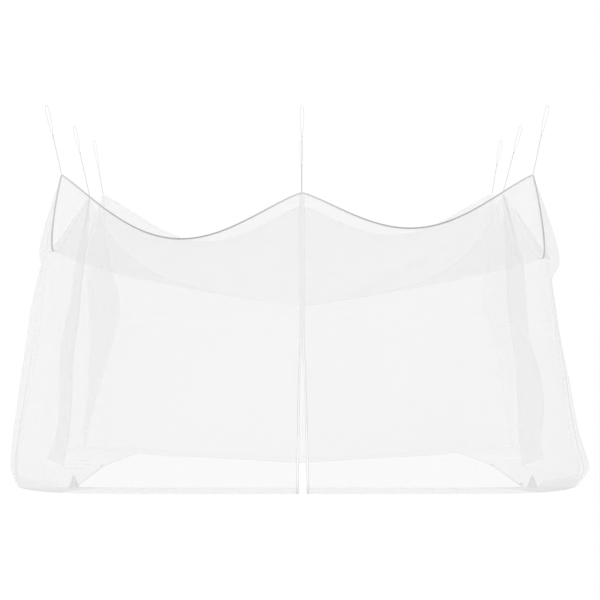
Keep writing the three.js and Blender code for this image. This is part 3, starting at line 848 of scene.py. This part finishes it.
@lru_cache(maxsize=None)
def tree_of(name):
    """A tree with named sizes and a material, built once, and the identifiers of its inputs by name."""
    build, sizes = TREES[name]
    tree = bpy.data.node_groups.new(name, "GeometryNodeTree")
    kinds = {"Geometry": "Geometry", **dict.fromkeys(sizes, "Float"), "Material": "Material"}
    keys = {}
    for label, kind in kinds.items():
        socket = tree.interface.new_socket(label, in_out="INPUT", socket_type=f"NodeSocket{kind}")
        keys[label] = socket.identifier
    tree.interface.new_socket("Geometry", in_out="OUTPUT", socket_type="NodeSocketGeometry")
    wiring = Wiring(tree)
    start = wiring.node("NodeGroupInput").outputs
    real = wiring.shape("RealizeInstances", {"Geometry": build(wiring, start)})
    painted = wiring.shape("SetMaterial", {"Geometry": real, "Material": start["Material"]})
    wiring.node("NodeGroupOutput", {0: painted})
    return tree, keys


def made_by_tree(name, path, values, tree_name, **inputs):
    """Runs a tree on a path that carries named values, and returns a plain mesh object at the origin."""
    tree, keys = tree_of(tree_name)
    piece = make_piece(name, path, [], values=values, edges=[(i, i + 1) for i in range(len(path) - 1)])
    modifier = piece.modifiers.new("tree", "NODES")
    modifier.node_group = tree
    for label, value in inputs.items():
        modifier[keys[label.replace("_", " ")]] = value
    whole = piece.evaluated_get(bpy.context.evaluated_depsgraph_get())
    line, result = piece.data, bpy.data.meshes.new_from_object(whole)
    piece.modifiers.remove(modifier)
    piece.data = result
    bpy.data.meshes.remove(line)
    return piece


# Walls whose rows run so that their faces would point inwards, and bindings that are walked backwards, so
# that the upper side of every binding is the same side of its tape
TURNED_FACES = ("right", "front_left", "front_right")
TURNED_PATHS = ("front", "right")
NO_SEAM = 1.0  # stored where a cloth has no seam nearby


def placed(piece, slot, *nodes):
    """Puts a piece on the net's one body and hides the CAD node that it stands for, if any. The slot is not
    used.
    """
    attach(piece, "root")
    if nodes:
        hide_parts(*nodes)
    return piece


def make_wall(name, width):
    """A wall as one sheet: down to the floor, in to the hem, and the turned-up strip on it."""
    rows, close = wall_rows(name)
    down = measured_down(rows)
    along = np.broadcast_to(np.linspace(0, 1, down.shape[1]), down.shape)
    # A front half has one sewn side edge, at its corner
    near = {"front_left": along, "front_right": 1 - along}.get(name, np.minimum(along, 1 - along))
    faces = [face[::-1] if name in TURNED_FACES else face for face in grid_faces(*down.shape)]
    values = {"seam": (near * width).ravel(), "closeness": close.ravel()}
    uv = np.dstack([along * width, down]).reshape(-1, 2)
    piece = make_piece(f"net_wall_{name}", rows.reshape(-1, 3), faces, finish("fine_net"), values, uv)
    return placed(piece, "net", f"wall_{name}")


def make_dome(name, rings, last, close, sides):
    """A net sheet of closed rings with one last point inside the first, mapped by two of its sides."""
    high, wide = rings.shape[:2]
    points = np.vstack([rings.reshape(-1, 3), last])
    faces = [face[::-1] for face in grid_faces(high, wide, closed=True)]
    faces += [(high * wide, i, (i + 1) % wide) for i in range(wide)]
    values = {"seam": np.full(len(points), NO_SEAM), "closeness": np.broadcast_to(close, len(points))}
    return make_piece(name, points, faces, finish("fine_net"), values, points[:, sides])


def peak(name, row):
    """A small peak where the hem is pinched: a pleated cone of cloth that stands on the floor."""
    count = PEAK.pleats * PEAK.points
    angles = np.arange(count) * (tau / count)
    pleats = 1 + PEAK.deep * np.cos(PEAK.pleats * angles)
    rings = []
    for j in range(1, PEAK.rows + 1):
        share = j / PEAK.rows
        radius = row.wide * share ** PEAK.flare * pleats
        up = np.full(count, row.high * (1 - share) + FLOOR)
        x, y = row.x + radius * np.cos(angles), row.y + radius * np.sin(angles)
        rings.append(np.column_stack([x, y, up]))
    top = np.array([row.x, row.y, row.high + FLOOR])
    return make_dome(name, np.array(rings) + SET, top + SET, PEAK.close, (0, 2))


def make_peaks(name):
    """All the peaks of one wall's hem, as one piece."""
    parts = [peak(f"hem_peak_{name}_{i}", row) for i, row in enumerate(PEAKS[name])]
    return placed(joined(f"hem_peaks_{name}", parts), "net")


def make_roof():
    """The roof as one sheet, from the middle of its belly out to its rim under the binding."""
    centre, rings, close = roof_rings()
    close = np.append(close.ravel(), close[0].mean())
    return placed(make_dome("net_roof", rings, centre, close, (0, 1)), "net", "roof")


def directions(path):
    """The direction of a path at each of its points."""
    steps = np.gradient(path, axis=0)
    return steps / np.linalg.norm(steps, axis=1)[:, None]


def crossed(first, second):
    """The unit direction square to both, at each point."""
    out = np.cross(first, second)
    return out / np.linalg.norm(out, axis=1)[:, None]


def joined(name, parts):
    """Several mesh objects as one."""
    with bpy.context.temp_override(active_object=parts[0], selected_editable_objects=parts):
        bpy.ops.object.join()
    parts[0].name = name
    parts[0].data.name = name
    return parts[0]


def make_stitches(name, path, outward, offsets):
    """Rows of stitches along a path, each row set above it and aside from it, as one piece."""
    sizes = bpy.context.scene.net_sizes
    aside = crossed(outward, directions(path))
    rows = [
        made_by_tree(
            f"{name}_{i}", path + outward * above + aside * beside, {"outward": outward}, "stitches",
            Spacing=sizes.stitch_spacing, Stitch_length=sizes.stitch_length,
            Thread_radius=STITCHED.thread, Material=finish("sewing_thread"),
        )
        for i, (above, beside) in enumerate(offsets)
    ]
    return placed(joined(name, rows), "cord")


def make_tape(cloth, parts, side, path, values, width, thickness):
    """A tape along a path, with a row of stitches near each of its edges. The parts are the first words of
    the tape's name, of its CAD node's and of its stitches'."""
    name, node, stitches = (f"{part}_{side}" for part in parts)
    tape = made_by_tree(
        name, path, values, "tape", Width=width, Thickness=thickness,
        Edge_radius=thickness * TAPE.edge_round, Material=finish(cloth),
    )
    placed(tape, "tape", node)
    above, aside = thickness / 2 + STITCHED.above, width * STITCHED.aside
    make_stitches(stitches, path, values["outward"], ((above, aside), (above, -aside)))


def binding_path(strips):
    """The line of a binding, and how low it hangs: 0 at a hold and 1 in the middle of a bay."""
    places = edge_places(strips, 1)
    low = [abs(arch(share)) * PALER.get(name, 1.0) for name, share in places]
    return np.array([bay_point(*place, 0.0) for place in places]) + SET, np.array(low)


def slit_path(hand, thickness):
    """The middle of a slit tape, from the binding down to the floor and in to the hem, and where it is dark
    at its foot."""
    points, low = [], []
    top = hold_height("front_slit") - SLIT_DROP
    for i in range(WALL_ROWS + 1):
        fall = (i / WALL_ROWS) ** WALL_ROW_TURN
        low.append(risen(fall, TAPE.foot_from, TAPE.foot_full))
        x, y = line_plan("front_slit", fall)
        z = max(lerp(top, FLOOR, fall), thickness / 2)
        points.append(np.array([x + hand * read(SLIT, "half", fall), y, z]))
    foot = points[-1]
    hem = np.array([foot[0], HEM_LINE["front_slit"][1], foot[2]])
    points += [lerp(foot, hem, i / TUCK_ROWS) for i in range(1, TUCK_ROWS + 1)]
    return np.array(points) + SET, np.array(low + [1.0] * TUCK_ROWS)


def hem_path(name):
    """The line of stitches on the turned-up strip of a wall."""
    columns = BAY_COLUMNS * len(WALLS[name])
    back = HEM_FOLD.stitched
    return np.array([turned_hem_point(name, i / columns, back) for i in range(columns + 1)]) + SET


def spline(points, steps):
    """Points along a smooth curve through a cord's route."""
    ends = [2 * points[0] - points[1], *points, 2 * points[-1] - points[-2]]
    t = np.arange(steps)[:, None] / steps
    line = [
        0.5 * (2 * b + (c - a) * t + (2 * a - 5 * b + 4 * c - d) * t ** 2 + (3 * b - a - 3 * c + d) * t ** 3)
        for a, b, c, d in zip(ends, ends[1:], ends[2:], ends[3:])
    ]
    return np.vstack([*line, points[-1]])


def cord_frame(hold):
    start = np.array(hold.at) + SET
    top = np.array(hold.loop) + SET
    up = (top - start) / np.linalg.norm(top - start)
    across = np.array([1.0, 0.0, 0.0]) - up * up[0]
    return start + up * CORD.clear, up, top - up * LOOP.long, across / np.linalg.norm(across)


def cord_route(hold):
    """The points that a cord follows: from the binding up to its knot, round its loop, back to the knot."""
    start, up, knot, across = cord_frame(hold)
    loop = [knot + up * step.up * LOOP.long + across * step.out * LOOP.half for step in LOOP_WALK]
    return [start, lerp(start, knot, 0.5), *loop]


def knot_route(hold):
    """Turns of the cord wound round itself under the loop, with both ends tucked in."""
    _, up, knot, across = cord_frame(hold)
    share = np.linspace(0, 1, KNOT.turns * KNOT.points + 1)[:, None]
    angle = tau * KNOT.turns * share
    tucked = np.minimum(1.0, KNOT.tuck * np.minimum(share, 1 - share))
    around = across * np.cos(angle) + np.cross(up, across) * np.sin(angle)
    return knot + around * KNOT.radius * lerp(KNOT.tight, 1.0, tucked) + up * KNOT.half * (2 * share - 1)


def make_cord(name, hold, diameter):
    """A hanging cord with the knot under its loop."""
    line = spline(cord_route(hold), CORD.curve_steps)
    rope = {"Radius": diameter / 2, "Lay": CORD.lay, "Step": CORD.step, "Material": finish("twisted_cord")}
    wound = knot_route(hold)
    thick = np.where(np.arange(len(line)) <= CORD.stem_spans * CORD.curve_steps, CORD.stem, CORD.strand)
    strand = np.full(len(wound), CORD.strand)
    cord = made_by_tree(f"hanging_cord_{name}", line, {"thick": thick}, "rope", **rope)
    knot = made_by_tree(f"cord_knot_{name}", wound, {"thick": strand}, "rope", **rope)
    placed(cord, "cord", f"cord_{name}")
    placed(knot, "cord", f"knot_{name}")


FINISHES = {
    "fine_net": net_material, "twisted_cord": cord_material, "sewing_thread": thread_material,
    "binding_tape": partial(tape_material, folded=True), "slit_tape": tape_material,
}


def finish(name):
    """A finish by name, made the first time that it is asked for."""
    if name not in bpy.data.materials:
        wiring, shader = wired(bpy.data.materials.new(name), "BSDF_PRINCIPLED")
        FINISHES[name](wiring, shader, bpy.context.scene.net_finish)
    return bpy.data.materials[name]


def length(label, told, default):
    return FloatProperty(name=label, description=told, default=default, min=0.0, unit="LENGTH")


def colour(label, told, level, blue):
    """A near-grey colour: the level of its red and green, and of its blue."""
    return FloatVectorProperty(name=label, description=told, default=(level, level, blue, 1.0), size=4,
                               min=0.0, max=1.0, subtype="COLOR")


class NetSizes(bpy.types.PropertyGroup):
    """Sizes that a user may change before the pieces are made."""

    cut_width: length("Cut width", "Width of the roof, and of a side or back wall, before it is hung", 3.0)
    cut_height: length("Wall height", "Height of a wall with its hem, before it is hung", 1.9)
    binding_width: length("Binding width", "Width of the tape over the top seam", 0.01)
    binding_thick: length("Binding thickness", "Thickness of the tape over the top seam", 0.009)
    slit_width: length("Slit tape width", "Width of each tape beside the slit", 0.012)
    slit_thick: length("Slit tape thickness", "Thickness of each tape beside the slit", 0.0018)
    cord_diameter: length("Cord diameter", "Diameter of a hanging cord", 0.003)
    stitch_spacing: length("Stitch spacing", "From one stitch to the next", 0.005)
    stitch_length: length("Stitch length", "Length of the thread that shows in a stitch", 0.0034)


class NetFinish(bpy.types.PropertyGroup):
    """Colours and the yarn spacing that a user may change before the pieces are made."""

    mesh_pitch: length("Mesh pitch", "From one yarn of the net to the next", 0.0016)
    net: colour("Net", "Lit yarn of the net", 0.83, 0.835)
    net_shade: colour("Net shade", "Yarn deep in the net", 0.79, 0.8)
    tape: colour("Tape", "Raised threads of the tapes", 0.99, 0.99)
    tape_shade: colour("Tape shade", "Sunk threads of the tapes", 0.95, 0.95)
    # Dark face and its shade are painted shade on the binding's outer face and on a side binding's lower
    # face, not a second colour of the tape; they also darken each slit tape along both edges and at its
    # foot.
    fold: colour("Dark face", "Raised threads of the binding's outer face", 0.5, 0.51)
    fold_shade: colour("Dark face shade", "Sunk threads of the binding's outer face", 0.34, 0.35)
    cord: colour("Cord", "Raised fibres of the cords", 0.7, 0.7)
    cord_shade: colour("Cord shade", "Sunk fibres of the cords", 0.54, 0.54)
    thread: colour("Thread", "Sewing thread", 0.88, 0.88)
    thread_shade: colour("Thread shade", "Sewing thread where it is worn", 0.78, 0.79)


CAMERA = Numbers(place=(-0.006, -10.596, 1.075), lens=102.0, sensor=36.0, shift_y=-5 / 600)
LIGHT = Numbers(layers=64, world=0.86, backdrop=1.0, sun=0.5, sun_angle=60.0, sun_turn=(50.0, 0.0, -35.0))
FLOOR_PLANE = Numbers(half=60.0, base=0.1, glow=0.905, rough=0.9)
WHITE = (1.0, 1.0, 1.0, 1.0)


class NET_OT_stage(bpy.types.Operator):
    """Make the camera, the pale floor and the soft studio light"""

    bl_idname = "net.stage"
    bl_label = "Stage"

    def execute(self, context):
        scene = context.scene
        scene.view_settings.view_transform = "Standard"
        scene.cycles.transparent_max_bounces = LIGHT.layers
        make_camera(scene)
        make_floor()
        make_light(scene)
        return {"FINISHED"}


def make_camera(scene):
    data = bpy.data.cameras.new("camera")
    data.lens = CAMERA.lens
    data.sensor_width = CAMERA.sensor
    data.shift_y = CAMERA.shift_y
    camera = bpy.data.objects.new("camera", data)
    camera.location = CAMERA.place
    camera.rotation_euler = (pi / 2, 0.0, 0.0)
    scene.collection.objects.link(camera)
    scene.camera = camera


def make_floor():
    half, base = FLOOR_PLANE.half, FLOOR_PLANE.base
    wiring, shader = wired(bpy.data.materials.new("pale_floor"), "BSDF_PRINCIPLED")
    wiring.fill(shader, {
        "Base Color": (base, base, base, 1.0), "Roughness": FLOOR_PLANE.rough, "Specular IOR Level": 0.0,
        "Emission Color": WHITE, "Emission Strength": FLOOR_PLANE.glow,
    })
    corners = [(-half, -half, 0), (half, -half, 0), (half, half, 0), (-half, half, 0)]
    make_piece("floor", corners, [(0, 1, 2, 3)], bpy.data.materials["pale_floor"])


def make_light(scene):
    """An even white surround with one wide soft sun, so that folds turn a little darker away from it."""
    scene.world = bpy.data.worlds.new("studio")
    wiring, background = wired(scene.world, "BACKGROUND")
    seen = wiring.value("ShaderNodeLightPath", "Is Camera Ray")
    strength = LIGHT.world + seen * (LIGHT.backdrop - LIGHT.world)
    wiring.fill(background, {"Color": WHITE, "Strength": strength})
    data = bpy.data.lights.new("sun", "SUN")
    data.energy = LIGHT.sun
    data.angle = radians(LIGHT.sun_angle)
    sun = bpy.data.objects.new("sun", data)
    sun.rotation_euler = [radians(turn) for turn in LIGHT.sun_turn]
    scene.collection.objects.link(sun)


class NET_OT_cords(bpy.types.Operator):
    """Make the eight hanging cords, each with its loop and its knot"""

    bl_idname = "net.cords"
    bl_label = "Hanging cords"

    def execute(self, context):
        for name, hold in HOLDS.items():
            make_cord(name, hold, context.scene.net_sizes.cord_diameter)
        return {"FINISHED"}


class NET_OT_roof(bpy.types.Operator):
    """Make the roof sheet"""

    bl_idname = "net.roof"
    bl_label = "Roof"

    def execute(self, context):
        make_roof()
        return {"FINISHED"}


class NET_OT_walls(bpy.types.Operator):
    """Make the side walls, the back wall and the two front halves, with their hem stitches"""

    bl_idname = "net.walls"
    bl_label = "Walls"

    def execute(self, context):
        sizes = context.scene.net_sizes
        for name, strips in WALLS.items():
            width = sizes.cut_width * len(strips) / 2
            wall = make_wall(name, width)
            path = hem_path(name)
            upwards = np.tile([0.0, 0.0, 1.0], (len(path), 1))
            pieces = [make_stitches(f"hem_stitches_{name}", path, upwards, ((STITCHED.above, 0.0),))]
            if name in PEAKS:
                pieces.append(make_peaks(name))
        return {"FINISHED"}


class NET_OT_bindings(bpy.types.Operator):
    """Make the binding tape over the top seam of each side, with its stitches"""

    bl_idname = "net.bindings"
    bl_label = "Top binding"

    def execute(self, context):
        sizes = context.scene.net_sizes
        sides = {"left": WALLS["left"], "right": WALLS["right"], "back": WALLS["back"], "front": FRONT}
        for name, strips in sides.items():
            path, low = binding_path(strips)
            side = BAYS[strips[0][0]].side
            if name in TURNED_PATHS:
                path, low = path[::-1], low[::-1]
            level = np.tile([*side, 0.0], (len(path), 1)).astype(float)
            along = directions(path)
            # under is 1 on the side bindings, whose lower face gets painted shade as well as their outer
            # face
            values = {"outward": crossed(along, crossed(level, along)), "low": low,
                      "under": np.full(len(path), abs(side[0]))}
            make_tape("binding_tape", ("top_binding", "binding", "binding_stitches"), name, path, values,
                      sizes.binding_width, sizes.binding_thick)
        return {"FINISHED"}


class NET_OT_slit_tapes(bpy.types.Operator):
    """Make the two tapes beside the slit, with their stitches"""

    bl_idname = "net.slit_tapes"
    bl_label = "Slit tapes"

    def execute(self, context):
        sizes = context.scene.net_sizes
        for name, hand in (("left", -1), ("right", 1)):
            path, low = slit_path(hand, sizes.slit_thick)
            right = np.tile([1.0, 0.0, 0.0], (len(path), 1))
            values = {"outward": crossed(directions(path), right), "low": low}
            make_tape("slit_tape", ("slit_binding", "slit_tape", "slit_stitches"), name, path, values,
                      sizes.slit_width, sizes.slit_thick)
        return {"FINISHED"}


OPERATORS = (NET_OT_stage, NET_OT_cords, NET_OT_roof, NET_OT_walls, NET_OT_bindings, NET_OT_slit_tapes)


class NET_PT_panel(bpy.types.Panel):
    """The net's pieces, sizes and finishes"""

    bl_idname = "NET_PT_panel"
    bl_label = "Gazebo mosquito net"
    bl_space_type = "VIEW_3D"
    bl_region_type = "UI"
    bl_category = "Net"

    def draw(self, context):
        for operator in OPERATORS:
            self.layout.operator(operator.bl_idname)
        for group in (context.scene.net_sizes, context.scene.net_finish):
            box = self.layout.box()
            for key in group.__annotations__:
                box.prop(group, key)


CLASSES = (NetSizes, NetFinish, *OPERATORS, NET_PT_panel)


def register():
    for cls in CLASSES:
        bpy.utils.register_class(cls)
    bpy.types.Scene.net_sizes = PointerProperty(type=NetSizes)
    bpy.types.Scene.net_finish = PointerProperty(type=NetFinish)


def unregister():
    del bpy.types.Scene.net_finish
    del bpy.types.Scene.net_sizes
    for cls in reversed(CLASSES):
        bpy.utils.unregister_class(cls)


def main():
    """Makes every piece."""
    register()
    bpy.ops.net.stage()
    bpy.ops.net.cords()
    bpy.ops.net.roof()
    bpy.ops.net.walls()
    bpy.ops.net.bindings()
    bpy.ops.net.slit_tapes()


if __name__ == "__main__":
    main()
